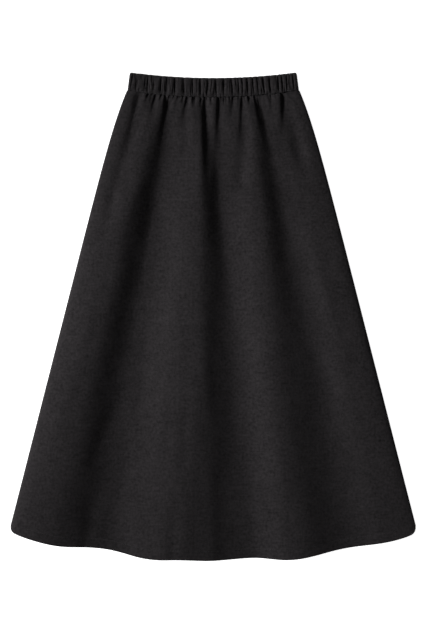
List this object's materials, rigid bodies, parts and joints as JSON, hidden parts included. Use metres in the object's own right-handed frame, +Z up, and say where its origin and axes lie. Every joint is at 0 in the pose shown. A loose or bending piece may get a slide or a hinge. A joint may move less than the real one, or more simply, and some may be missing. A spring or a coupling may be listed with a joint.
{
  "type": "maxi skirt",
  "caption": "Long A-line skirt laid flat, with a ruched elastic waistband, soft gathers under it and deep folds that fan out to a curved hem.",
  "frame": {"origin": "middle of the laid skirt's plan, on the surface that it lies on", "axes": "+Z up from the surface, +Y from the hem towards the waistband, +X to the right of the skirt as seen from above"},
  "size_m": [0.83, 0.9972, 0.0245],
  "materials": {
    "skirt_cloth": "matt charcoal linen-look plain weave with fine slubs",
    "waistband_cloth": "the same charcoal cloth, ruched over elastic"
  },
  "bodies": {
    "root": {"front_panel": "skirt_cloth", "back_panel": "skirt_cloth", "waistband_front": "waistband_cloth", "waistband_back": "waistband_cloth"}
  },
  "joints": []
}
